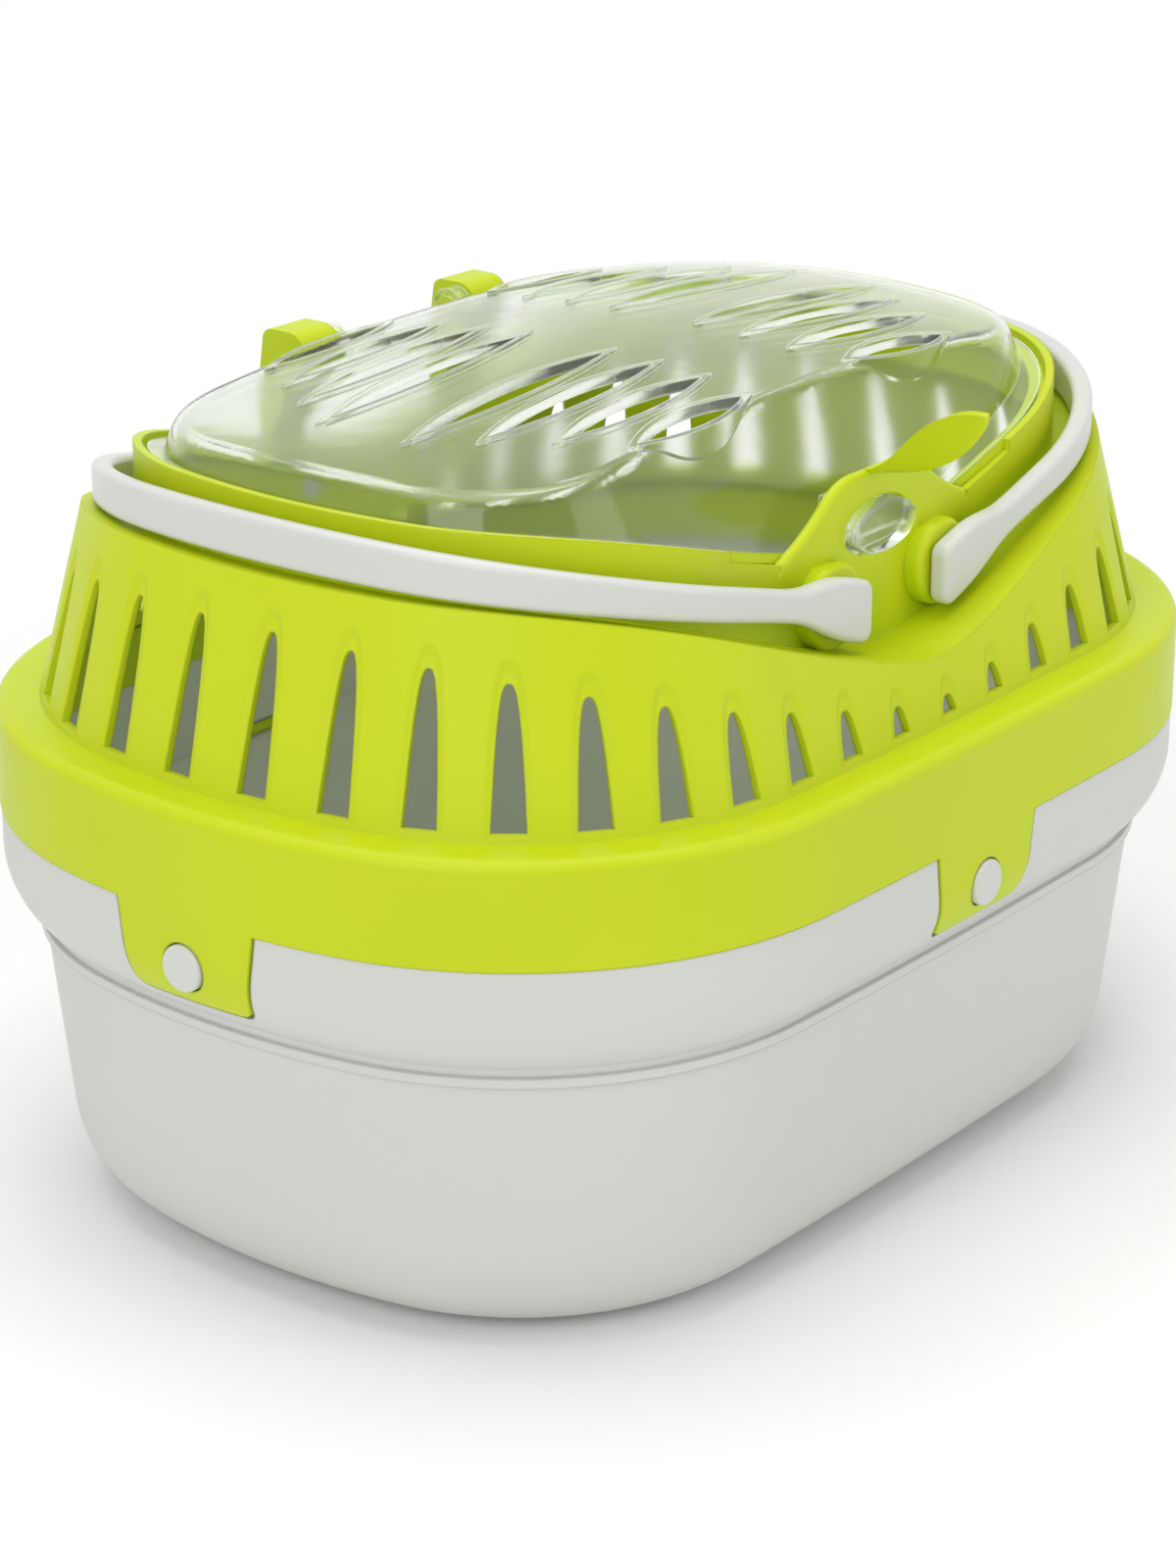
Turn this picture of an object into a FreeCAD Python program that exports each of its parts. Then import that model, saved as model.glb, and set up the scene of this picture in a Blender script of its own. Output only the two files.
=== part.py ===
import FreeCAD, Part
import math
import os

V = FreeCAD.Vector
os.makedirs("parts", exist_ok=True)

# Plan outline of the skirt: an oblong of eight tangent arcs, in millimetres
half_length = 150.0
half_width = 111.0
end_arc_radius = 200.0
side_arc_radius = 2400.0
corner_radius = 88.0

# Heights of the tub's lip and of the skirt above it
lip_bottom_z = 69.0
lip_height = 30.0
skirt_height = 25.0
spigot_height = 18.0
lip_top_z = lip_bottom_z + lip_height
shelf_z = lip_top_z + skirt_height
spigot_top_z = lip_top_z + spigot_height

# Tub
tub_wall = 2.4
tub_foot_inset = 16.5
tub_top_inset = 8.7
tub_lip_overlap = 5.0
tub_bottom_radius = 25.0
lip_inset = 0.3
lip_round = 20.0
lip_neck_height = 10.0
bead_height = 1.8
bead_proud = 0.6
tub_wall_top_z = lip_bottom_z + tub_lip_overlap

# Green top shell
skirt_wall = 2.4
skirt_gap = 0.3
skirt_edge_round = 3.0
shelf_width = 10.0
shell_wall = 2.2
wall_lean = 0.26
shoulder_height = 15.0
shoulder_rise = 33.5
shoulder_end_margin = 16.0
shoulder_power = 1.6
neck_inset = 33.5
rim_height = 39.5
rim_rise = 22.0
rim_end_overrun = 1.5
rim_notch_half = 56.0
rim_notch_drop = 2.6
seat_drop = 3.0
seat_width = 3.8
upper_offset_y = -1.0
shoulder_low_z = shelf_z + shoulder_height
shoulder_reach = half_length - shoulder_end_margin
rim_low_z = shelf_z + rim_height
rim_reach = half_length - neck_inset + rim_end_overrun
seat_inset = neck_inset + shell_wall
hatch_inset = seat_inset + seat_width
neck_face = half_width - neck_inset
seat_face = half_width - seat_inset

# Tabs with studs at the middle of the four sides
tab_top_half = 20.0
tab_foot_half = 17.0
tab_drop = 21.0
tab_gap = 0.6
tab_corner = 3.5
stud_radius = 5.5
stud_gap = 0.4
stud_drop = 12.0
stud_proud = 0.9
stud_edge_round = 0.8
stud_shank_radius = 2.8
stud_shank_gap = 0.05
tab_foot_z = lip_top_z - tab_drop
stud_z = lip_top_z - stud_drop

# Vent slots round the wall
slot_count = 42
slot_half_width = 3.9
slot_sill_height = 2.2
slot_low_rise = 4.0
slot_slope = 0.25
slot_taper = 0.35
slot_tip_share = 0.985
slot_crowding = 4.6
slot_ledge = 3.0
groove_depth = 0.9
groove_margin = 0.7
groove_flank = 2.4
groove_overrun = 6.0
groove_foot = 0.9
slot_sill_z = shelf_z + slot_sill_height

# Lid
lid_wall = 2.0
lid_gap = 1.1
lid_flange_drop = 1.0
lid_seat_gap = 0.3
lid_rear_gap = 4.5
lid_wall_inset = 37.5
lid_foot_drop = 3.5
lid_wall_lean = 0.45
lid_end_inset = 30.0
lid_end_lean = 0.3
lid_crease_round = 5.0
lid_rise = 36.8
lid_centre_y = -1.5
lid_curve_x = 714.0
lid_curve_y = 417.0
lid_slot_rows = 4
lid_slot_first = 12.4
lid_slot_inner = 18.2
lid_slot_side_margin = 2.5
lid_slot_end_margin = 20.0
lid_slot_shortening = 9.3
lid_slot_last_shift = 3.0
lid_slot_half_width = 4.2
lid_slot_rim = 1.5
lid_slot_rim_point = 3.75
lid_slot_rim_height = 0.8
lid_top_z = rim_low_z + lid_rise
lid_wall_foot_z = rim_low_z - lid_foot_drop
lid_rear_y = seat_face - lid_rear_gap
lid_end_half = half_length - lid_end_inset
lid_top_half_width = half_width - lid_wall_inset - lid_wall_lean * (lid_top_z - lid_wall_foot_z)
lid_top_half_length = lid_end_half - lid_end_lean * (lid_top_z - lid_wall_foot_z)
lid_slot_pitch = (lid_top_half_width - lid_slot_side_margin - lid_slot_first) / (lid_slot_rows - 1)
flange_inset = seat_inset + lid_gap
overbuild = 30.0
cabin_ceiling = lid_top_z + overbuild
wide = half_length + overbuild

# Hinge of the lid
hinge_setback = 10.5
hinge_rise = 27.4
knuckle_inner_x = 25.2
knuckle_width = 13.0
knuckle_radius = 5.0
knuckle_back_reach = 8.2
knuckle_corner = 2.6
knuckle_throat = 2.4
knuckle_chin = 6.0
knuckle_foot_drop = 4.0
knuckle_gusset_rise = 3.3
knuckle_back_rise = 14.4
pin_radius = 2.2
pin_running_gap = 0.07
pin_depth = 10.5
ear_width = 4.0
ear_side_gap = 0.4
ear_radius = 4.4
ear_arm_up = 2.6
ear_arm_down = 3.6
ear_bite = 0.8
hinge_y = neck_face - hinge_setback
hinge_z = rim_low_z + hinge_rise

# Handles
pivot_x = 21.5
pivot_height = 14.1
pivot_peg_radius = 4.0
pivot_running_gap = 0.08
collar_radius = 10.3
collar_side_gap = 0.3
collar_round = 1.6
handle_outer_inset = 24.0
handle_thickness = 5.0
handle_end_rise = 6.5
handle_arm_half = 3.7
handle_bar_half = 5.2
handle_end_x = 14.6
handle_end_round = 3.2
handle_edge_round = 1.6
handle_flare = 3.9
handle_flare_length = 21.0
handle_bow = 0.2
pivot_z = shoulder_low_z + pivot_height
handle_end_z = shoulder_low_z + shoulder_rise + handle_end_rise
outer_face = half_width - handle_outer_inset
inner_face = outer_face - handle_thickness
collar_face = inner_face - collar_side_gap

# Latch tongue with its thumb leaf
latch_root_rise = 3.5
latch_rise = 17.0
latch_leave = 4.0
latch_shoulder_half = 12.0
latch_shoulder_run = 9.0
latch_shoulder_drop = 5.6
latch_flank_half = 37.0
latch_flank_drop = 0.5
latch_flank_edge = 3.0
latch_flank_sweep = 9.0
latch_flank_lift = 7.2
latch_gap = 0.3
latch_hole_rise = 3.0
latch_hole_half_x = 13.0
latch_hole_half_z = 6.6
nub_gap = 0.4
nub_proud = 2.6
nub_edge_round = 1.3
nub_plate_gap = 1.3
nub_plate_margin = 3.0
leaf_tip_length = 14.5
leaf_stem_length = 22.0
leaf_half_width = 9.0
leaf_wall = 1.9
leaf_lean = 58.0
leaf_reach = 17.2
leaf_rise = 9.5
latch_root_z = pivot_z + latch_root_rise
latch_top_z = rim_low_z + latch_rise
latch_hole_z = rim_low_z + latch_hole_rise
leaf_centre_y = -neck_face - leaf_reach
leaf_centre_z = latch_top_z + leaf_rise


# Plan outline at a given inset and height
def corner_centre(stretch):
    # the corner arc touches the end arc and the side arc from inside
    end_centre = V(half_length + stretch - end_arc_radius, 0, 0)
    side_centre = V(0, half_width - side_arc_radius, 0)
    r1 = end_arc_radius - corner_radius
    r2 = side_arc_radius - corner_radius
    span = side_centre.sub(end_centre)
    d = span.Length
    along = (r1 * r1 - r2 * r2 + d * d) / (2 * d)
    across = math.sqrt(r1 * r1 - along * along)
    u = V(span.x / d, span.y / d, 0)
    v = V(-u.y, u.x, 0)
    first = end_centre.add(V(u.x * along, u.y * along, 0)).add(V(v.x * across, v.y * across, 0))
    second = end_centre.add(V(u.x * along, u.y * along, 0)).sub(V(v.x * across, v.y * across, 0))
    return first if first.x + first.y > second.x + second.y else second


def plan_arcs(inset, stretch=0.0):
    # radius, centre, first angle and last angle of the arcs, counter-clockwise from the +X end
    c = corner_centre(stretch)
    end_c = V(half_length + stretch - end_arc_radius, 0, 0)
    side_c = V(0, half_width - side_arc_radius, 0)
    a_end = math.atan2(c.y - end_c.y, c.x - end_c.x)
    a_side = math.atan2(c.y - side_c.y, c.x - side_c.x)
    re = end_arc_radius - inset
    rs = side_arc_radius - inset
    rc = corner_radius - inset
    pi = math.pi
    return [
        (re, end_c, -a_end, a_end),
        (rc, c, a_end, a_side),
        (rs, side_c, a_side, pi - a_side),
        (rc, V(-c.x, c.y, 0), pi - a_side, pi - a_end),
        (re, V(-end_c.x, 0, 0), pi - a_end, pi + a_end),
        (rc, V(-c.x, -c.y, 0), pi + a_end, pi + a_side),
        (rs, V(0, -side_c.y, 0), pi + a_side, 2 * pi - a_side),
        (rc, V(c.x, -c.y, 0), 2 * pi - a_side, 2 * pi - a_end),
    ]


def outline(inset, z, stretch=0.0):
    edges = []
    for r, c, a0, a1 in plan_arcs(inset, stretch):
        p = [V(c.x + r * math.cos(a), c.y + r * math.sin(a), z) for a in (a0, (a0 + a1) / 2, a1)]
        edges.append(Part.Arc(p[0], p[1], p[2]).toShape())
    return Part.Wire(edges)


def prism(inset, z0, z1):
    return Part.Face(outline(inset, z0)).extrude(V(0, 0, z1 - z0))


def taper(inset0, z0, inset1, z1):
    return Part.makeLoft([outline(inset0, z0), outline(inset1, z1)], True, True)


def level_edges(solid, z):
    return [e for e in solid.Edges if abs(e.BoundBox.ZMin - z) < 1e-4 and abs(e.BoundBox.ZMax - z) < 1e-4]


def box(x0, x1, y0, y1, z0, z1):
    return Part.makeBox(x1 - x0, y1 - y0, z1 - z0, V(x0, y0, z0))


def rod_x(y, z, r, x0, x1):
    return Part.makeCylinder(r, x1 - x0, V(x0, y, z), V(1, 0, 0))


def rod_y(x, z, r, y0, y1):
    return Part.makeCylinder(r, y1 - y0, V(x, y0, z), V(0, 1, 0))


def set_forward(shape):
    # the neck and all that sits on it stand a little in front of the tub's middle
    copy = shape.copy()
    copy.translate(V(0, upper_offset_y, 0))
    return copy


# Saddle-shaped levels, which are low at the middle of the long sides and high at the ends
def shoulder_level(x):
    s = math.sin(math.pi / 2 * min(abs(x) / shoulder_reach, 1.0))
    return shoulder_low_z + shoulder_rise * s ** shoulder_power


def rim_level(x):
    s = math.sin(math.pi / 2 * min(abs(x) / rim_reach, 1.0))
    return rim_low_z + rim_rise * s * s


def curve_xz(level, x0, x1, count, y):
    pts = [x0 + (x1 - x0) * i / (count - 1) for i in range(count)]
    curve = Part.BSplineCurve()
    curve.interpolate([V(x, y, level(x)) for x in pts])
    return curve.toShape()


def under(level):
    # everything below a level that depends on x alone
    foot = -overbuild
    top = curve_xz(level, -wide, wide, 25, -wide)
    p = [
        V(wide, -wide, level(wide)),
        V(wide, -wide, foot),
        V(-wide, -wide, foot),
        V(-wide, -wide, level(-wide)),
    ]
    sides = [Part.makeLine(p[i], p[i + 1]) for i in range(3)]
    return Part.Face(Part.Wire([top] + sides)).extrude(V(0, 2 * wide, 0))


# Tub with its lip, spigot, tab recesses and stud bores
def lip_form(inset):
    body = prism(inset, lip_bottom_z + inset, lip_top_z)
    return body.makeFillet(lip_round - inset, level_edges(body, lip_bottom_z + inset))


def tub_form(grow, foot_z):
    lean = (tub_foot_inset - tub_top_inset) / tub_wall_top_z
    body = taper(tub_foot_inset - lean * foot_z + grow, foot_z, tub_top_inset + grow, tub_wall_top_z)
    return body.makeFillet(tub_bottom_radius - grow, level_edges(body, foot_z))


def side_frames():
    # name, turn about Z that brings the front side to this side, distance of the skirt from the middle
    return [
        ("front", 0.0, half_width),
        ("right", 90.0, half_length),
        ("rear", 180.0, half_width),
        ("left", 270.0, half_length),
    ]


def turned(shape, angle):
    copy = shape.copy()
    copy.rotate(V(0, 0, 0), V(0, 0, 1), angle)
    return copy


def tab_prism(grow, reach):
    # front-facing tab outline with rounded lower corners
    z0 = tab_foot_z - grow
    z1 = lip_top_z + 0.5
    a = tab_top_half + grow
    b = tab_foot_half + grow
    p = [V(-a, -reach - 6, z1), V(-b, -reach - 6, z0), V(b, -reach - 6, z0), V(a, -reach - 6, z1)]
    solid = Part.Face(Part.makePolygon(p + [p[0]])).extrude(V(0, 30, 0))
    feet = [e for e in solid.Edges if e.BoundBox.ZMax < z0 + 0.01 and e.BoundBox.YLength > 20]
    return solid.makeFillet(tab_corner, feet)


skirt_spigot_inset = skirt_wall + skirt_gap
spigot_inner_inset = skirt_spigot_inset + tub_wall
recess_inset = skirt_wall + skirt_gap

bead_inset = tub_top_inset - bead_proud
tub = tub_form(0.0, 0.0).fuse([
    lip_form(lip_inset),
    prism(skirt_spigot_inset, lip_top_z - 1.0, spigot_top_z),
    prism(bead_inset, lip_bottom_z - bead_proud, lip_bottom_z + bead_height),
])
neck_z = lip_bottom_z + lip_neck_height
hollow = tub_form(tub_wall, tub_wall).fuse(prism(spigot_inner_inset, neck_z, spigot_top_z + 1.0))
hollow = hollow.fuse(taper(tub_top_inset + tub_wall, tub_wall_top_z - 0.5, spigot_inner_inset, neck_z + 0.2))
tub = tub.cut(hollow)

lip_skin = lip_form(-1.5).cut(lip_form(recess_inset))
tab_skin = lip_form(0.0).cut(lip_form(skirt_wall))
studs = {}
tabs = []
for name, angle, reach in side_frames():
    tub = tub.cut(turned(tab_prism(tab_gap, reach), angle).common(lip_skin))
    tab = turned(tab_prism(0.0, reach), angle).common(tab_skin)
    hole = turned(rod_y(0, stud_z, stud_radius + stud_gap, -reach - 5, -reach + 12), angle)
    tabs.append(tab.cut(hole))
    seat = -reach + recess_inset
    bore = turned(rod_y(0, stud_z, stud_shank_radius + stud_shank_gap, seat - 1.0, seat + 6.0), angle)
    tub = tub.cut(bore)
    head = rod_y(0, stud_z, stud_radius, -reach - stud_proud, seat)
    rim_edge = [e for e in head.Edges if abs(e.BoundBox.YMax - (-reach - stud_proud)) < 1e-4]
    head = head.makeFillet(stud_edge_round, rim_edge)
    studs[name] = turned(head.fuse(rod_y(0, stud_z, stud_shank_radius, seat - 0.5, seat + tub_wall)), angle)

# Top shell: skirt, shelf, leaning wall, saddle shoulder, neck and lid seat
shoulder_top = shoulder_low_z + shoulder_rise + shoulder_height
wall_top_inset = shelf_width + wall_lean * (shoulder_top - shelf_z)

skirt = prism(0.0, lip_top_z, shelf_z)
skirt = skirt.makeFillet(skirt_edge_round, level_edges(skirt, shelf_z))
wall = taper(shelf_width + wall_lean, shelf_z - 1.0, wall_top_inset, shoulder_top)
wall = wall.common(under(shoulder_level))
neck = prism(neck_inset, shelf_z, cabin_ceiling).common(under(rim_level))
shell = skirt.fuse([wall, set_forward(neck)])

inner_foot = shelf_z - shell_wall
skirt_void = prism(skirt_wall, lip_top_z - 1.0, inner_foot)
wall_void = taper(shelf_width + shell_wall, inner_foot - 1.0, wall_top_inset + shell_wall, shoulder_top)
wall_void = wall_void.common(under(lambda x: shoulder_level(x) - shell_wall))
neck_void = prism(seat_inset, shelf_z, cabin_ceiling)
neck_void = neck_void.common(under(lambda x: rim_level(x) - seat_drop - shell_wall))
hatch = prism(hatch_inset, shelf_z, cabin_ceiling)
seat_recess = prism(seat_inset, shelf_z, cabin_ceiling).cut(under(lambda x: rim_level(x) - seat_drop))
openings = [set_forward(void) for void in (neck_void, hatch, seat_recess)]
shell = shell.cut([skirt_void.fuse([wall_void] + openings)])
shell = shell.fuse(tabs)

# Vent slots, spaced evenly along the foot of the wall
def plan_point(inset, s):
    # point and outward direction at a share s of the outline's length from the middle of the front
    arcs = plan_arcs(inset)
    lengths = [r * (a1 - a0) for r, c, a0, a1 in arcs]
    total = sum(lengths)
    start = sum(lengths[:6]) + lengths[6] / 2
    t = (start + s * total) % total
    for (r, c, a0, a1), length in zip(arcs, lengths):
        if t <= length:
            a = a0 + t / r
            return V(c.x + r * math.cos(a), c.y + r * math.sin(a), 0), V(math.cos(a), math.sin(a), 0)
        t -= length
    return None


def arch(half, height, foot):
    # tall arch with full flanks and a blunt tip, in the local XY plane
    def flank(t):
        return V(half * (1 - t) ** slot_taper, foot + (height - foot) * t, 0)

    shares = [0.0, 0.3, 0.55, 0.75, 0.88, 0.95, slot_tip_share]
    right = Part.BSplineCurve()
    right.interpolate([flank(t) for t in shares])
    left = Part.BSplineCurve()
    left.interpolate([V(-p.x, p.y, 0) for p in map(flank, shares)])
    brow = flank(slot_tip_share)
    cap = Part.Arc(brow, V(0, height, 0), V(-brow.x, brow.y, 0)).toShape()
    base = Part.makeLine(V(-half, foot, 0), V(half, foot, 0))
    edges = [right.toShape(), cap, left.toShape(), base]
    return Part.Wire(Part.__sortEdges__(edges))


def slot_top(x):
    return slot_sill_z + math.sqrt(slot_low_rise ** 2 + (slot_slope * x) ** 2)


def slot_share(i):
    # place of slot i along the outline: the slots crowd a little towards the middles of the long sides
    quarter = slot_count / 4
    turn = i % (2 * quarter)
    u = min(turn, 2 * quarter - turn) / quarter
    shift = slot_crowding * math.sin(math.pi * u * u)
    return i / slot_count - math.copysign(shift / outline(shelf_width, 0.0).Length, quarter - turn)


slope = math.hypot(1.0, wall_lean)
cutters = []
for i in range(slot_count):
    inset = shelf_width + wall_lean * (slot_sill_z - shelf_z)
    p, out = plan_point(inset, slot_share(i))
    side = V(-out.y, out.x, 0)
    up = V(-out.x * wall_lean / slope, -out.y * wall_lean / slope, 1 / slope)
    normal = side.cross(up)
    height = (slot_top(p.x) - slot_sill_z) * slope
    frame = FreeCAD.Matrix(
        side.x, up.x, normal.x, p.x,
        side.y, up.y, normal.y, p.y,
        side.z, up.z, normal.z, slot_sill_z,
        0, 0, 0, 1,
    )
    room = (shoulder_level(p.x) - slot_ledge - slot_sill_z) * slope
    tall = min(height + groove_overrun, room)
    narrow = slot_half_width * min(1.0, 0.55 + height / 30.0)
    through = Part.Face(arch(narrow, height, 0.0)).extrude(V(0, 0, 14.0))
    through.translate(V(0, 0, -9.0))
    floor_line = arch(narrow + groove_margin, (height + tall) / 2, -groove_foot / 2)
    floor_line.translate(V(0, 0, -groove_depth))
    brim_line = arch(narrow + groove_margin + groove_flank, tall, -groove_foot)
    groove = Part.makeLoft([floor_line, brim_line], True, True)
    for cutter in (through, groove):
        cutter.transformShape(frame, True)
        cutters.append(cutter)
shell = shell.cut(cutters)

# Pivot collars, knuckles and the latch window in the neck
fittings = []
bores = []
for sx in (-1, 1):
    for sy in (-1, 1):
        a, b = sorted((sy * (seat_face + 0.2), sy * collar_face))
        collar = rod_y(sx * pivot_x, pivot_z, collar_radius, a, b)
        brim = [e for e in collar.Edges if e.BoundBox.YLength < 0.1 and abs(e.BoundBox.YMin - sy * collar_face) < 0.1]
        fittings.append(collar.makeFillet(collar_round, brim))
        a, b = sorted((sy * (seat_face - 1.0), sy * (collar_face + 1.0)))
        bores.append(rod_y(sx * pivot_x, pivot_z, pivot_peg_radius + pivot_running_gap, a, b))
    x0 = knuckle_inner_x if sx > 0 else -knuckle_inner_x - knuckle_width
    r = knuckle_radius
    back = hinge_y + knuckle_back_reach
    nick = knuckle_corner * (1 - math.sqrt(0.5))
    p = [
        V(x0, hinge_y, hinge_z + r),
        V(x0, hinge_y - r * math.sqrt(0.5), hinge_z + r * math.sqrt(0.5)),
        V(x0, hinge_y - r, hinge_z),
        V(x0, hinge_y - knuckle_throat, hinge_z - knuckle_chin),
        V(x0, seat_face + 0.2, rim_low_z + knuckle_gusset_rise),
        V(x0, seat_face + 0.2, rim_low_z - knuckle_foot_drop),
        V(x0, neck_face, rim_low_z - knuckle_foot_drop),
        V(x0, neck_face, rim_low_z + knuckle_back_rise),
        V(x0, back, hinge_z + r - knuckle_corner),
        V(x0, back - nick, hinge_z + r - nick),
        V(x0, back - knuckle_corner, hinge_z + r),
    ]
    edges = [Part.Arc(p[0], p[1], p[2]).toShape(), Part.Arc(p[8], p[9], p[10]).toShape()]
    edges += [Part.makeLine(p[i], p[i + 1]) for i in range(2, 8)]
    edges.append(Part.makeLine(p[10], p[0]))
    edges = Part.__sortEdges__(edges)
    fittings.append(Part.Face(Part.Wire(edges)).extrude(V(knuckle_width, 0, 0)))
    a, b = sorted((sx * (knuckle_inner_x - 1.0), sx * (knuckle_inner_x + pin_depth)))
    bores.append(rod_x(hinge_y, hinge_z, pin_radius, a, b))


def latch_face(grow, y):
    # right half of the tongue's outline: a narrow root between the collars, wide flanks, a rounded top
    c = collar_radius + latch_gap - grow
    root = latch_root_z - grow
    flank = latch_flank_half + grow
    leave_x = pivot_x - latch_leave
    leave_z = pivot_z + math.sqrt(c * c - latch_leave ** 2)
    wing_low = max(rim_low_z - latch_flank_drop - grow, leave_z)
    wing_high = rim_low_z - latch_flank_drop + grow
    foot_x = pivot_x - math.sqrt(c * c - (root - pivot_z) ** 2)
    first = math.atan2(root - pivot_z, foot_x - pivot_x)
    last = math.atan2(leave_z - pivot_z, leave_x - pivot_x)
    mid = (first + last) / 2
    s = latch_shoulder_half + grow
    top = latch_top_z + grow
    corner = V(s + latch_shoulder_run, y, top - latch_shoulder_drop)
    crown = V(s - latch_shoulder_run * 0.43, y, top)
    edge = V(flank, y, wing_high + latch_flank_edge)
    sweep = V(flank - latch_flank_sweep, y, wing_high + latch_flank_lift)
    brow = V(s + latch_shoulder_run * 0.37, y, top - latch_shoulder_drop * 0.25)
    hollow = V(pivot_x + c * math.cos(mid), y, pivot_z + c * math.sin(mid))
    edges = [
        Part.makeLine(V(0, y, root), V(foot_x, y, root)),
        Part.Arc(V(foot_x, y, root), hollow, V(leave_x, y, leave_z)).toShape(),
        Part.makeLine(V(leave_x, y, leave_z), V(flank, y, wing_low)),
        Part.makeLine(V(flank, y, wing_low), edge),
        Part.Arc(edge, sweep, corner).toShape(),
        Part.Arc(corner, brow, crown).toShape(),
        Part.makeLine(crown, V(0, y, top)),
        Part.makeLine(V(0, y, top), V(0, y, root)),
    ]
    return Part.Face(Part.Wire(edges))


def latch_block(grow, y0, y1):
    half = latch_face(grow, y0).extrude(V(0, y1 - y0, 0))
    return half.fuse(half.mirror(V(0, 0, 0), V(1, 0, 0))).removeSplitter()


window = latch_block(latch_gap, -neck_face - 8.0, -seat_face + 0.5)
notch_y = (-neck_face - 1.0, -seat_face + 0.1)
notch = box(-rim_notch_half, rim_notch_half, notch_y[0], notch_y[1], rim_low_z - seat_drop, cabin_ceiling)
notch = notch.cut(under(lambda x: rim_level(x) - rim_notch_drop))
nub_plate_half = latch_hole_half_x + nub_plate_margin
room_half = nub_plate_half + nub_plate_margin
room_rear = -half_width + hatch_inset + 1.0
tongue_room = box(-room_half, room_half, -seat_face, room_rear, latch_root_z - 2.0, cabin_ceiling)
shell = shell.fuse([set_forward(f) for f in fittings])
shell = shell.cut([set_forward(f) for f in bores + [window, notch, tongue_room]])
shell = shell.removeSplitter()

# Latch tongue: a plate in the neck's front with an oval window and a scooped thumb leaf
plate = prism(neck_inset, latch_root_z - 5.0, cabin_ceiling)
plate = plate.cut(prism(seat_inset, latch_root_z - 6.0, cabin_ceiling + 1.0))
plate = plate.common(latch_block(0.0, -neck_face - 4.0, -seat_face + 2.0))


def oval(half_x, half_z, z, y0, y1):
    curve = Part.Ellipse(V(half_x, y0, z), V(0, y0, z + half_z), V(0, y0, z))
    return Part.Face(Part.Wire([curve.toShape()])).extrude(V(0, y1 - y0, 0))


def egg_half(tip, stem, half_round):
    # half of an egg shape with its long axis along local Z, blunt at the tip and drawn out at the stem
    ellipses = []
    for length, way in ((tip, 1), (stem, -1)):
        major = V(0, 0, way * length) if length > half_round else V(half_round, 0, 0)
        minor = V(half_round, 0, 0) if length > half_round else V(0, 0, way * length)
        ellipses.append(Part.Edge(Part.Ellipse(major, minor, V(0, 0, 0)), 0, math.pi / 2))
    spine = Part.makeLine(V(0, 0, -stem), V(0, 0, tip))
    face = Part.Face(Part.Wire(Part.__sortEdges__(ellipses + [spine])))
    return face.revolve(V(0, 0, 0), V(0, 0, 1), -180)


lean = math.radians(leaf_lean)
axis = V(0, -math.sin(lean), math.cos(lean))
across = axis.cross(V(1, 0, 0))
leaf_frame = FreeCAD.Matrix(
    1, across.x, axis.x, 0,
    0, across.y, axis.y, leaf_centre_y,
    0, across.z, axis.z, leaf_centre_z,
    0, 0, 0, 1,
)
leaf = egg_half(leaf_tip_length, leaf_stem_length, leaf_half_width)
leaf = leaf.cut(egg_half(leaf_tip_length - leaf_wall, leaf_stem_length - leaf_wall, leaf_half_width - leaf_wall))
leaf.transformShape(leaf_frame, True)
leaf = leaf.cut(box(-wide, wide, -seat_face - 0.4, 0, 0, cabin_ceiling))
tongue = plate.fuse(leaf)
latch_hole = oval(latch_hole_half_x, latch_hole_half_z, latch_hole_z, -neck_face - 6.0, -seat_face + 6.0)
tongue = tongue.cut(latch_hole)
tongue = set_forward(tongue.removeSplitter())

# Lid: flange on the seat, leaning wall, domed top with slots, front nub and hinge ears
def dome(z):
    # doubly curved block: an arc across the width, swept on a larger arc along the length
    spread = half_width
    foot = shelf_z
    y0 = lid_centre_y - spread
    y1 = lid_centre_y + spread
    sag = lid_curve_y - math.sqrt(lid_curve_y ** 2 - spread ** 2)
    top = Part.Arc(V(0, y0, z - sag), V(0, lid_centre_y, z), V(0, y1, z - sag)).toShape()
    p = [V(0, y1, z - sag), V(0, y1, foot), V(0, y0, foot), V(0, y0, z - sag)]
    face = Part.Face(Part.Wire([top] + [Part.makeLine(p[i], p[i + 1]) for i in range(3)]))
    swing = math.degrees(math.asin(half_length / lid_curve_x))
    pole = V(0, 0, lid_top_z - lid_curve_x)
    face.rotate(pole, V(0, 1, 0), -swing)
    return face.revolve(pole, V(0, 1, 0), 2 * swing)


def hood(thin, z0):
    # leaning wall that is steeper at the ends than along the sides, closed by the dome
    wires = []
    for z in (z0, lid_top_z + 6.0):
        inset = lid_wall_inset + lid_wall_lean * (z - lid_wall_foot_z) + thin
        end = lid_end_half - lid_end_lean * (z - lid_wall_foot_z) - thin
        wires.append(outline(inset, z, end - (half_length - inset)))
    body = Part.makeLoft(wires, True, True).common(dome(lid_top_z - thin))
    crease = [e for e in body.Edges if e.BoundBox.ZMin > lid_wall_foot_z + lid_rise / 2]
    return body.makeFillet(lid_crease_round - thin, crease)


lid_hood = hood(0.0, lid_wall_foot_z).common(prism(flange_inset, lid_wall_foot_z, cabin_ceiling))
lid_void = hood(lid_wall, lid_wall_foot_z - 2.0)
lid_void = lid_void.common(prism(flange_inset + lid_wall, lid_wall_foot_z - 4.0, cabin_ceiling))
flange_top = under(lambda x: rim_level(x) - lid_flange_drop)
flange_low = under(lambda x: rim_level(x) - seat_drop + lid_seat_gap)
flange = prism(flange_inset, lid_wall_foot_z - 8.0, cabin_ceiling).common(flange_top).cut(flange_low)
lid = lid_hood.cut(flange_low).fuse(flange)


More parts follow.
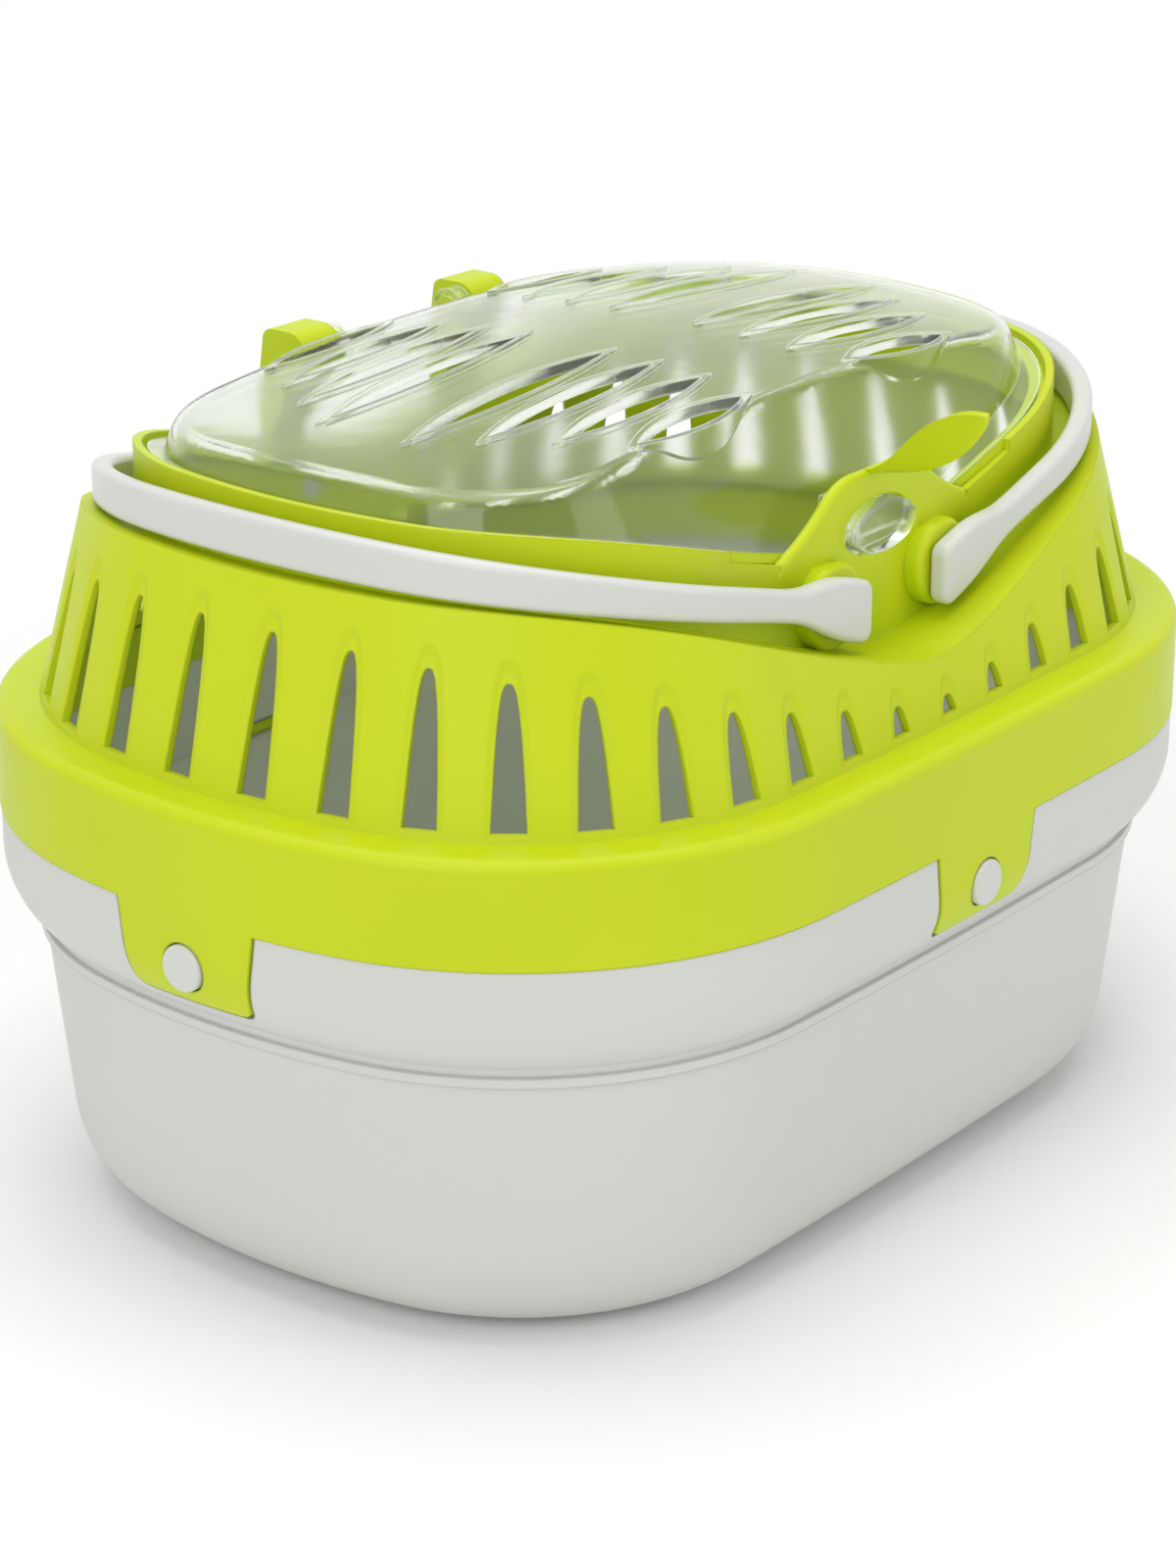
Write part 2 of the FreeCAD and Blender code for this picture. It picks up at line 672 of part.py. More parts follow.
def pointed_oval(x0, x1, y, half, z0, z1):
    xm = (x0 + x1) / 2
    a = Part.Arc(V(x0, y, z0), V(xm, y + half, z0), V(x1, y, z0)).toShape()
    b = Part.Arc(V(x1, y, z0), V(xm, y - half, z0), V(x0, y, z0)).toShape()
    return Part.Face(Part.Wire([a, b])).extrude(V(0, 0, z1 - z0))


raised = dome(lid_top_z + lid_slot_rim_height)
rims = []
slots = []
for row in range(lid_slot_rows):
    y = lid_slot_first + lid_slot_pitch * row
    x0 = lid_slot_inner + (lid_slot_last_shift if row == lid_slot_rows - 1 else 0.0)
    x1 = lid_top_half_length - lid_slot_end_margin - lid_slot_shortening * row
    for sx in (-1, 1):
        for sy in (-1, 1):
            a, b = sorted((sx * x0, sx * x1))
            half = lid_slot_half_width
            point = lid_slot_rim_point
            yy = lid_centre_y + sy * y
            lip = pointed_oval(a - point, b + point, yy, half + lid_slot_rim, hinge_z - 6.0, cabin_ceiling)
            rims.append(lip.common(raised))
            slots.append(pointed_oval(a, b, yy, half, rim_low_z, cabin_ceiling))
lid = lid.fuse(rims)
lid = lid.cut([lid_void, box(-wide, wide, lid_rear_y, wide, shelf_z, cabin_ceiling)] + slots)

nub_plate_y = -seat_face + nub_plate_gap
nub_plate_low = latch_hole_z - latch_hole_half_z - nub_gap
nub_plate_high = latch_hole_z + latch_hole_half_z + nub_plate_margin
half = nub_plate_half
tongue_plate = box(-half, half, nub_plate_y, nub_plate_y + lid_wall, nub_plate_low, nub_plate_high)
nub = oval(
    latch_hole_half_x - nub_gap, latch_hole_half_z - nub_gap, latch_hole_z,
    -neck_face - nub_proud, nub_plate_y + 0.3,
)
nub_face = [e for e in nub.Edges if abs(e.BoundBox.YMax - (-neck_face - nub_proud)) < 1e-4]
nub = nub.makeFillet(nub_edge_round, nub_face)
ears = []
pins = {}
ear_x = knuckle_inner_x - ear_side_gap - ear_width
ear_reach = half_width - lid_wall_inset - lid_wall_lean * (hinge_z - lid_wall_foot_z) - ear_bite
for name, sx in (("left", -1), ("right", 1)):
    x0, x1 = sorted((sx * ear_x, sx * (ear_x + ear_width)))
    disc = rod_x(hinge_y, hinge_z, ear_radius, x0, x1)
    arm = box(x0, x1, ear_reach, hinge_y, hinge_z - ear_arm_down, hinge_z + ear_arm_up)
    eye = rod_x(hinge_y, hinge_z, pin_radius + pin_running_gap, x0 - 1.0, x1 + 1.0)
    ears.append(disc.fuse(arm).cut(eye))
    a, b = sorted((sx * (ear_x - 0.3), sx * (knuckle_inner_x + pin_depth)))
    pins[name] = set_forward(rod_x(hinge_y, hinge_z, pin_radius, a, b))
lid = set_forward(lid.fuse([tongue_plate, nub] + ears).removeSplitter())

# Handles: two bails that lie round the neck and swing up about the pegs at their eyes
def handle_share(x):
    return (abs(x) - pivot_x) / (half_length - handle_outer_inset - handle_thickness / 2 - pivot_x)


def handle_line(x):
    # middle height of the bail, left of its pivot
    t = handle_share(x)
    return pivot_z + (handle_end_z - pivot_z) * ((1 + handle_bow) * t - handle_bow * t * t)


def handle_half(x):
    # half height of the bail: slim arms, a taller bar and a fishtail at the pivots
    t = max(handle_share(x), 0.0)
    tail = math.exp(-((abs(x) - handle_end_x) / handle_flare_length) ** 4)
    return handle_arm_half + (handle_bar_half - handle_arm_half) * t * t + handle_flare * tail


ring = prism(handle_outer_inset, shelf_z, cabin_ceiling)
ring = ring.cut(prism(handle_outer_inset + handle_thickness, shelf_z - 1.0, cabin_ceiling + 1.0))
far = -half_length + handle_outer_inset - handle_thickness
upper = curve_xz(lambda x: handle_line(x) + handle_half(x), far, -handle_end_x, 25, -half_width)
lower = curve_xz(lambda x: handle_line(x) - handle_half(x), far, -handle_end_x, 25, -half_width)
near_gap = Part.makeLine(lower.Vertexes[-1].Point, upper.Vertexes[-1].Point)
far_gap = Part.makeLine(upper.Vertexes[0].Point, lower.Vertexes[0].Point)
sides = Part.Wire(Part.__sortEdges__([upper, near_gap, lower, far_gap]))
band = Part.Face(sides).extrude(V(0, 2 * half_width, 0))
ends = [e for e in band.Edges if e.BoundBox.XMin > -handle_end_x - 0.01 and e.BoundBox.YLength > half_width]
band = band.makeFillet(handle_end_round, ends)
bail = ring.common(band)
tail_edges = [
    e for e in bail.Edges
    if e.Length > 1.0 and e.BoundBox.XMin > -handle_end_x - 0.01 and e.Length < e.BoundBox.ZLength + 0.01
]
bail = bail.makeFillet(handle_edge_round, [e for e in tail_edges if e.BoundBox.YMax < 0])
for sy in (-1, 1):
    a, b = sorted((sy * (seat_face + 0.4), sy * (inner_face + 0.5)))
    bail = bail.fuse(rod_y(-pivot_x, pivot_z, pivot_peg_radius, a, b))
bail = set_forward(bail.removeSplitter())

nodes = {
    "tub": tub,
    "top_shell": shell,
    "latch_tongue": tongue,
    "lid": lid,
    "handle_left": bail,
    "handle_right": bail.mirror(V(0, 0, 0), V(1, 0, 0)),
}
for name, shape in studs.items():
    nodes["stud_" + name] = shape
for name, shape in pins.items():
    nodes["hinge_pin_" + name] = shape

for name, shape in nodes.items():
    shape.exportStep("parts/" + name + ".step")
    b = shape.BoundBox
    print(name, shape.isValid(), len(shape.Solids), round(shape.Volume / 1000, 1), "cm3",
          [round(v, 1) for v in (b.XMin, b.XMax, b.YMin, b.YMax, b.ZMin, b.ZMax)])
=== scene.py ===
import math

import bmesh
import bpy
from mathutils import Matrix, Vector
from mathutils.bvhtree import BVHTree


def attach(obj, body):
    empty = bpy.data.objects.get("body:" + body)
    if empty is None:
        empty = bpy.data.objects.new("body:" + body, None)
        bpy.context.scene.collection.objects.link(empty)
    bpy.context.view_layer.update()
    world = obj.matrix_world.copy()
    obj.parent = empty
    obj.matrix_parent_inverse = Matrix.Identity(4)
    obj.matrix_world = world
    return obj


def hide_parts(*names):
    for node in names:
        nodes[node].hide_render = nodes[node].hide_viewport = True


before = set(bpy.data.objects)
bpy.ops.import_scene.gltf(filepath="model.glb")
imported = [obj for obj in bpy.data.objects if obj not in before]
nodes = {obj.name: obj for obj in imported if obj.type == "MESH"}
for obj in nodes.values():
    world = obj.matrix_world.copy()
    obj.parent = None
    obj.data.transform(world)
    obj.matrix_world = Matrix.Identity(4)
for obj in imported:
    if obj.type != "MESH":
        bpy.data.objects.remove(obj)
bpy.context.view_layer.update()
scene = bpy.context.scene
mm = 0.001
print("frame loaded:", len(nodes), "pieces")

# camera at the photo's angle, in mm
camera = {"place": (-730.513, -566.8, 437.428), "aim": (-7.752, -0.919, 87.503),
          "lens": 92.557, "sensor": 36.0}


def turnTo(obj, aim):
    obj.rotation_euler = (aim - obj.location).to_track_quat("-Z", "Y").to_euler()


cam = bpy.data.objects.new("photoCamera", bpy.data.cameras.new("photoCamera"))
scene.collection.objects.link(cam)
cam.data.sensor_fit = "AUTO"
cam.data.sensor_width = camera["sensor"]
cam.data.lens = camera["lens"]
cam.location = Vector(camera["place"]) * mm
turnTo(cam, Vector(camera["aim"]) * mm)
scene.camera = cam
scene.view_settings.view_transform = "Standard"
print("camera placed")

# node helpers
noiseReach = {"spread": (0.3, 0.7), "ramp": (0.35, 0.65)}  # the band that noise values mostly fill


def addNode(tree, kind, links=None, **values):
    node = tree.nodes.new(kind)
    for name, value in values.items():
        setattr(node, name, value)
    for socket, source in (links or {}).items():
        tree.links.new(source, node.inputs[socket])
    return node


def setSockets(node, values):
    for socket, value in values.items():
        node.inputs[socket].default_value = value


def newMaterial(name):
    mat = bpy.data.materials.new(name)
    mat.use_nodes = True
    return mat, mat.node_tree, mat.node_tree.nodes["Principled BSDF"]


def noiseNode(tree, coords, scale, detail=2.0, rough=0.5):
    node = addNode(tree, "ShaderNodeTexNoise", {"Vector": coords})
    setSockets(node, {"Scale": scale, "Detail": detail, "Roughness": rough})
    return node.outputs["Fac"]


def spread(tree, value, low, high):
    node = addNode(tree, "ShaderNodeMapRange", {"Value": value})
    start, end = noiseReach["spread"]
    setSockets(node, {"From Min": start, "From Max": end, "To Min": low, "To Max": high})
    return node.outputs["Result"]


def tintRamp(tree, value, shade, colour):
    ramp = addNode(tree, "ShaderNodeValToRGB", {"Fac": value})
    for element, place, tint in zip(ramp.color_ramp.elements, noiseReach["ramp"], (shade, colour)):
        element.position = place
        element.color = (*tint, 1)
    return ramp.outputs["Color"]


def anyRay(tree, value, path, rays):
    # 1 where the value or one of the ray kinds is 1
    for ray in rays:
        either = addNode(tree, "ShaderNodeMath", operation="MAXIMUM")
        tree.links.new(value, either.inputs[0])
        tree.links.new(path[ray], either.inputs[1])
        value = either.outputs[0]
    return value


def mixSurface(tree, share, first, second):
    mix = addNode(tree, "ShaderNodeMixShader", {"Fac": share})
    tree.links.new(first.outputs[0], mix.inputs[1])
    tree.links.new(second.outputs[0], mix.inputs[2])
    tree.links.new(mix.outputs[0], tree.nodes["Material Output"].inputs["Surface"])


# moulded plastic: cloudy colour, smeared gloss, fine grain, softened edges
mouldMarks = {"cloudDetail": 3.0, "smearDetail": 4.0, "smearRough": 0.6, "edgeSamples": 4}


def mouldedPlastic(name, look):
    mat, tree, shader = newMaterial(name)
    coords = addNode(tree, "ShaderNodeTexCoord").outputs["Object"]
    cloud = noiseNode(tree, coords, look["cloudScale"], mouldMarks["cloudDetail"])
    smear = noiseNode(tree, coords, look["smearScale"], mouldMarks["smearDetail"], mouldMarks["smearRough"])
    grain = noiseNode(tree, coords, look["grainScale"])
    bump = addNode(tree, "ShaderNodeBump", {"Height": grain})
    setSockets(bump, {"Strength": look["grainStrength"], "Distance": look["grainDepth"] * mm})
    if look["edgeRound"]:
        edge = addNode(tree, "ShaderNodeBevel", samples=mouldMarks["edgeSamples"])
        setSockets(edge, {"Radius": look["edgeRound"] * mm})
        tree.links.new(edge.outputs["Normal"], bump.inputs["Normal"])
    tree.links.new(tintRamp(tree, cloud, look["shade"], look["colour"]), shader.inputs["Base Color"])
    tree.links.new(spread(tree, smear, *look["roughness"]), shader.inputs["Roughness"])
    tree.links.new(bump.outputs["Normal"], shader.inputs["Normal"])
    setSockets(shader, {"Specular IOR Level": look["specular"]})
    return mat


limeLook = {"colour": (0.55, 0.655, 0.008), "shade": (0.525, 0.63, 0.006), "cloudScale": 9.0,
            "roughness": (0.38, 0.48), "smearScale": 30.0, "specular": 0.28, "edgeRound": 0.9,
            "grainScale": 900.0, "grainDepth": 0.05, "grainStrength": 0.12}
tubLook = {"colour": (0.625, 0.64, 0.60), "shade": (0.61, 0.625, 0.585), "cloudScale": 7.0,
           "roughness": (0.42, 0.52), "smearScale": 22.0, "specular": 0.4, "edgeRound": 0.9,
           "grainScale": 1100.0, "grainDepth": 0.06, "grainStrength": 0.15}
handleLook = {"colour": (0.63, 0.645, 0.605), "shade": (0.61, 0.63, 0.585), "cloudScale": 12.0,
              "roughness": (0.27, 0.31), "smearScale": 14.0, "specular": 0.5, "edgeRound": 0.8,
              "grainScale": 700.0, "grainDepth": 0.03, "grainStrength": 0.06}
lime = mouldedPlastic("limePlastic", limeLook)
limeTongue = mouldedPlastic("limeTongue", {**limeLook, "edgeRound": 0.0})  # rounded in the mesh
tubGrey = mouldedPlastic("tubPlastic", tubLook)
handleWhite = mouldedPlastic("handlePlastic", handleLook)

# clear plastic of the lid: a glossy coat over a faintly hazy, wavy sheet, with a painted highlight that
# makes the slot edges pale
lidLook = {"tint": (0.95, 0.98, 0.915), "roughness": (0.11, 0.17), "ior": 1.16,
           "coat": 0.4, "coatIor": 1.5, "coatRoughness": 0.03,
           "clear": (0.975, 0.995), "hazeScale": 16.0, "hazeDetail": 3.0,
           "edgeReach": 1.3, "paintedEdgeHighlight": 0.42, "edgeTurn": (0.98, 0.75), "edgeSamples": 6,
           "waveScale": 38.0, "waveDepth": 0.7, "waveStrength": 0.35,
           "shadowTint": (0.93, 0.96, 0.92), "deepest": 4.0}


def clearPlastic(name, look):
    mat, tree, shader = newMaterial(name)
    setSockets(shader, {"Base Color": (*look["tint"], 1), "IOR": look["ior"], "Coat Weight": look["coat"],
                        "Coat IOR": look["coatIor"], "Coat Roughness": look["coatRoughness"]})
    coords = addNode(tree, "ShaderNodeTexCoord").outputs["Object"]
    haze = noiseNode(tree, coords, look["hazeScale"], look["hazeDetail"])
    wave = noiseNode(tree, coords, look["waveScale"])
    bump = addNode(tree, "ShaderNodeBump", {"Height": wave})
    setSockets(bump, {"Strength": look["waveStrength"], "Distance": look["waveDepth"] * mm})
    # the normal turns near an edge, which marks the slots' rims; there the sheet passes less light and its
    # pale tint shows, a painted highlight along the rims
    rim = addNode(tree, "ShaderNodeBevel", samples=look["edgeSamples"])
    setSockets(rim, {"Radius": look["edgeReach"] * mm})
    flat = addNode(tree, "ShaderNodeVectorMath", operation="DOT_PRODUCT")
    tree.links.new(addNode(tree, "ShaderNodeNewGeometry").outputs["Normal"], flat.inputs[0])
    tree.links.new(rim.outputs["Normal"], flat.inputs[1])
    pale = addNode(tree, "ShaderNodeMapRange", {"Value": flat.outputs["Value"]})
    start, end = look["edgeTurn"]
    setSockets(pale, {"From Min": start, "From Max": end, "To Min": 0.0, "To Max": look["paintedEdgeHighlight"]})
    sheet = addNode(tree, "ShaderNodeMath", operation="SUBTRACT")
    tree.links.new(spread(tree, haze, *look["clear"]), sheet.inputs[0])
    tree.links.new(pale.outputs["Result"], sheet.inputs[1])
    tree.links.new(sheet.outputs[0], shader.inputs["Transmission Weight"])
    tree.links.new(spread(tree, haze, *look["roughness"]), shader.inputs["Roughness"])
    for socket in ("Normal", "Coat Normal"):
        tree.links.new(bump.outputs["Normal"], shader.inputs[socket])
    # light reaches the cabin through the lid, and deep bounces inside it don't turn black
    path = addNode(tree, "ShaderNodeLightPath").outputs
    through = addNode(tree, "ShaderNodeBsdfTransparent")
    setSockets(through, {"Color": (*look["shadowTint"], 1)})
    deep = addNode(tree, "ShaderNodeMath", operation="GREATER_THAN")
    tree.links.new(path["Transmission Depth"], deep.inputs[0])
    deep.inputs[1].default_value = look["deepest"]
    passing = anyRay(tree, deep.outputs[0], path, ("Is Shadow Ray", "Is Diffuse Ray"))
    mixSurface(tree, passing, shader, through)
    return mat


lidClear = clearPlastic("lidClear", lidLook)
finish = {"tub": tubGrey, "lid": lidClear, "handle_left": handleWhite, "handle_right": handleWhite}
for name, node in nodes.items():
    mat = handleWhite if name.startswith("stud") else finish.get(name, lime)
    node.data.materials.clear()
    node.data.materials.append(mat)
print("finishes set")


# mesh helpers
def arcThrough(a, b, c, steps):
    # points from a to c on the circle through b, without the first one
    (ax, ay), (bx, by), (cx, cy) = a, b, c
    d = 2 * (ax * (by - cy) + bx * (cy - ay) + cx * (ay - by))
    aa, bb, cc = ax**2 + ay**2, bx**2 + by**2, cx**2 + cy**2
    ux = (aa * (by - cy) + bb * (cy - ay) + cc * (ay - by)) / d
    uy = (aa * (cx - bx) + bb * (ax - cx) + cc * (bx - ax)) / d
    start = math.atan2(ay - uy, ax - ux)
    turn = (math.atan2(cy - uy, cx - ux) - start + math.pi) % (2 * math.pi) - math.pi
    radius = math.hypot(ax - ux, ay - uy)
    angles = [start + turn * i / steps for i in range(1, steps + 1)]
    return [(ux + radius * math.cos(angle), uy + radius * math.sin(angle)) for angle in angles]


def lineTo(a, b, steps):
    # points from a to b, without the first one
    (ax, ay), (bx, by) = a, b
    return [(ax + (bx - ax) * i / steps, ay + (by - ay) * i / steps) for i in range(1, steps + 1)]


def ringNormals(ring):
    # outward normals of a closed ring of points that runs clockwise
    normals = []
    for i in range(len(ring)):
        before, after = ring[i - 1], ring[(i + 1) % len(ring)]
        run = Vector((after[0] - before[0], after[1] - before[1])).normalized()
        normals.append((-run.y, run.x))
    return normals


def joinRings(bm, a, b):
    for i in range(len(a)):
        j = (i + 1) % len(a)
        bm.faces.new((a[i], a[j], b[j], b[i]))


def meshObject(name, bm, mat, smooth=True):
    bmesh.ops.recalc_face_normals(bm, faces=bm.faces)
    mesh = bpy.data.meshes.new(name)
    bm.to_mesh(mesh)
    bm.free()
    for face in mesh.polygons:
        face.use_smooth = smooth
    mesh.materials.append(mat)
    obj = bpy.data.objects.new(name, mesh)
    scene.collection.objects.link(obj)
    return obj


def roundEdges(obj, size):
    rounded = obj.modifiers.new("edges", "BEVEL")
    rounded.width = size["edgeRound"] * mm
    rounded.segments = size["edgeSteps"]
    rounded.limit_method = "ANGLE"
    rounded.angle_limit = math.radians(size["edgeAngle"])


# latch tongue: a plate that runs into the neck with no seam, rounded along its free edge and oval hole
tongueSize = {"front": -78.5, "back": -76.1, "faceRadius": 2366.0, "root": 156.3,
              "collarAt": (21.5, 153.1), "collarRadius": 10.3, "wingLow": 162.7, "wingHalf": 37.3,
              "wingEdge": 166.2, "flankMid": (28.6, 170.2), "shoulder": (21.2, 175.2),
              "brow": (16.2, 178.7), "crown": (8.0, 180.3), "edgeRound": 1.5, "roundSteps": 5,
              "overlap": 0.9, "proud": 0.02, "rearInset": 0.4,
              "hole": (13.0, 6.6, 166.5), "holeRound": 0.7, "holeEase": 0.6, "holePoints": 48}
tongueSteps = {"root": 6, "hollow": 8, "wing": 8, "tip": 2, "flank": 12, "brow": 10, "crown": 5}


def tongueOutline(size, steps):
    # right half from the root's middle round to the top's middle; True marks the free, rounded edge
    collarX, collarZ = size["collarAt"]
    radius = size["collarRadius"]
    foot = (collarX - math.sqrt(radius**2 - (size["root"] - collarZ) ** 2), size["root"])
    leave = (collarX - math.sqrt(radius**2 - (size["wingLow"] - collarZ) ** 2), size["wingLow"])
    footTurn = math.atan2(foot[1] - collarZ, foot[0] - collarX)
    leaveTurn = math.atan2(leave[1] - collarZ, leave[0] - collarX)
    between = (footTurn + leaveTurn) / 2
    hollow = (collarX + radius * math.cos(between), collarZ + radius * math.sin(between))
    wing = (size["wingHalf"], size["wingLow"])
    tip = (size["wingHalf"], size["wingEdge"])
    base = (0.0, size["root"])
    top = (0.0, size["crown"][1])
    held = [base] + lineTo(base, foot, steps["root"])
    held += arcThrough(foot, hollow, leave, steps["hollow"])
    held += lineTo(leave, wing, steps["wing"]) + lineTo(wing, tip, steps["tip"])[:-1]
    free = [tip] + arcThrough(tip, size["flankMid"], size["shoulder"], steps["flank"])
    free += arcThrough(size["shoulder"], size["brow"], size["crown"], steps["brow"])
    free += lineTo(size["crown"], top, steps["crown"])
    half = [(p, False) for p in held] + [(p, True) for p in free]
    left = [((-x, z), soft) for (x, z), soft in reversed(half[1:-1])]
    return half + left


def buildTongue(size):
    bm = bmesh.new()
    marked = tongueOutline(size, tongueSteps)[::-1]
    ring = [p for p, soft in marked]
    soft = [s for p, s in marked]
    normals = ringNormals(ring)
    holeHalfX, holeHalfZ, holeZ = size["hole"]
    front, edge, bore = size["front"], size["edgeRound"], size["holeRound"]
    steps = size["roundSteps"]

    def place(x, y, z):
        bow = x * x / (2 * size["faceRadius"])  # the plate is bowed like the neck's face
        return bm.verts.new((x * mm, (y + bow) * mm, z * mm))

    def oval(grow, y):
        turns = [2 * math.pi * i / size["holePoints"] for i in range(size["holePoints"])]
        return [place((holeHalfX + grow) * math.sin(turn), y, holeZ + (holeHalfZ + grow) * math.cos(turn))
                for turn in turns]

    def fill(*rings):
        edges = []
        for loop in rings:
            edges += [bm.edges.get((loop[i], loop[(i + 1) % len(loop)])) for i in range(len(loop))]
        bmesh.ops.triangle_fill(bm, use_beauty=True, use_dissolve=False, edges=edges)

    loops = []
    for k in range(steps + 1):
        turn = math.pi / 2 * k / steps
        loop = []
        for (x, z), free, (nx, nz) in zip(ring, soft, normals):
            if free:
                out, y = -edge * (1 - math.cos(turn)), front + edge * (1 - math.sin(turn))
            else:
                share = k / steps
                out, y = size["overlap"] * (1 - share) - edge * share, front - size["proud"]
            loop.append(place(x + nx * out, y, z + nz * out))
        loops.append(loop)
    inset = size["rearInset"]
    rear = [place(x - inset * nx, size["back"], z - inset * nz) for (x, z), (nx, nz) in zip(ring, normals)]
    holes = []
    for k in range(steps + 1):
        turn = math.pi / 2 * k / steps
        holes.append(oval(bore * (1 - math.cos(turn)), front + bore * (1 - math.sin(turn)) - size["proud"]))
    holeRear = oval(size["holeEase"], size["back"])  # wider, so that the plate clears the nub as it flexes
    joinRings(bm, rear, loops[0])
    for low, high in zip(loops, loops[1:]):
        joinRings(bm, low, high)
    joinRings(bm, holeRear, holes[0])
    for low, high in zip(holes, holes[1:]):
        joinRings(bm, low, high)
    fill(loops[-1], holes[-1])
    fill(rear, holeRear)
    # sharp where the plate is held or hidden
    for loop, marks in ((loops[0], soft), (rear, [False] * len(rear)), (holeRear, [False] * len(holeRear))):
        for i, free in enumerate(marks):
            if not free:
                bm.edges.get((loop[i], loop[(i + 1) % len(loop)])).smooth = False
    return meshObject("tonguePlate", bm, limeTongue)


# thumb leaf: a boat-shaped blade with a keel below and a shallow scoop above
leafShape = {"keel": ((-77.6, 178.4), (-84.5, 180.4), (-99.0, 180.0), (-106.8, 194.6)),
             "rim": ((-77.2, 180.2), (-85.6, 181.2), (-89.0, 197.4), (-106.3, 197.0)),
             "halfWidth": (4.6, 2.4, 4.0, 1.4), "scoop": 0.16, "belly": 1.6, "rows": 24, "columns": 14,
             "edgeRound": 0.9, "edgeSteps": 3, "edgeAngle": 42}


def bezier(points, t):
    s = 1 - t
    weights = (s**3, 3 * s * s * t, 3 * s * t * t, t**3)
    return sum(w * p for w, p in zip(weights, points))


def bezierPoint(points, t):
    return tuple(bezier(values, t) for values in zip(*points))


def buildLeaf(shape):
    bm = bmesh.new()
    rows = []
    columns = shape["columns"]
    for r in range(shape["rows"] + 1):
        t = r / shape["rows"]
        keel, rim = bezierPoint(shape["keel"], t), bezierPoint(shape["rim"], t)
        half = bezier(shape["halfWidth"], t)
        row = []
        for c in range(2 * columns):
            below = c < columns
            across = math.sin(math.pi / 2 * (2 * (c % columns) / columns - 1)) * (1 if below else -1)
            sink = 1 - abs(across) ** shape["belly"] if below else shape["scoop"] * (1 - across * across)
            y = rim[0] + (keel[0] - rim[0]) * sink
            z = rim[1] + (keel[1] - rim[1]) * sink
            row.append(bm.verts.new((across * half * mm, y * mm, z * mm)))
        rows.append(row)
    for low, high in zip(rows, rows[1:]):
        joinRings(bm, low, high)
    bm.faces.new(rows[0])
    bm.faces.new(rows[-1])
    leaf = meshObject("thumbLeaf", bm, limeTongue)
    roundEdges(leaf, shape)
    return leaf


tongue = buildTongue(tongueSize)
leaf = buildLeaf(leafShape)
for piece in (tongue, leaf):
    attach(piece, "latch")
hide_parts("latch_tongue")
print("latch tongue and thumb leaf built")

# inner lip of the green top, which hangs inside the tub's brim
lipSize = {"low": 104.0, "high": 118.5, "gap": 0.25, "wall": 1.4, "steps": 160,
           "edgeRound": 0.4, "edgeSteps": 2, "edgeAngle": 30}


def buildLip(size):
    tub = nodes["tub"].data
    brim = BVHTree.FromPolygons([v.co for v in tub.vertices], [tuple(p.vertices) for p in tub.polygons])
    bm = bmesh.new()
    rings = {}
    start = Vector((0, 0, size["low"] * mm))
    for i in range(size["steps"]):
        turn = 2 * math.pi * i / size["steps"]
        ray = Vector((math.cos(turn), math.sin(turn), 0))
        spot, slope = brim.ray_cast(start, ray)[:2]
        normal = Vector((slope.x, slope.y, 0)).normalized()
        normal = normal if normal.dot(ray) < 0 else -normal
        for side, inset in (("out", size["gap"]), ("in", size["gap"] + size["wall"])):
            place = spot + normal * inset * mm
            for end in ("low", "high"):
                corner = bm.verts.new((place.x, place.y, size[end] * mm))
                rings.setdefault((side, end), []).append(corner)
    order = [rings["out", "low"], rings["in", "low"], rings["in", "high"], rings["out", "high"]]
    for a, b in zip(order, order[1:] + order[:1]):
        joinRings(bm, a, b)
    lip = meshObject("innerLip", bm, lime)
    roundEdges(lip, size)
    return lip


lip = buildLip(lipSize)
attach(lip, "carrier")
print("inner lip built")

# floor that fades to white
floorLook = {"colour": (0.93, 0.93, 0.93), "roughness": 0.9, "fade": (0.2, 0.5), "size": 12.0, "squares": 4}


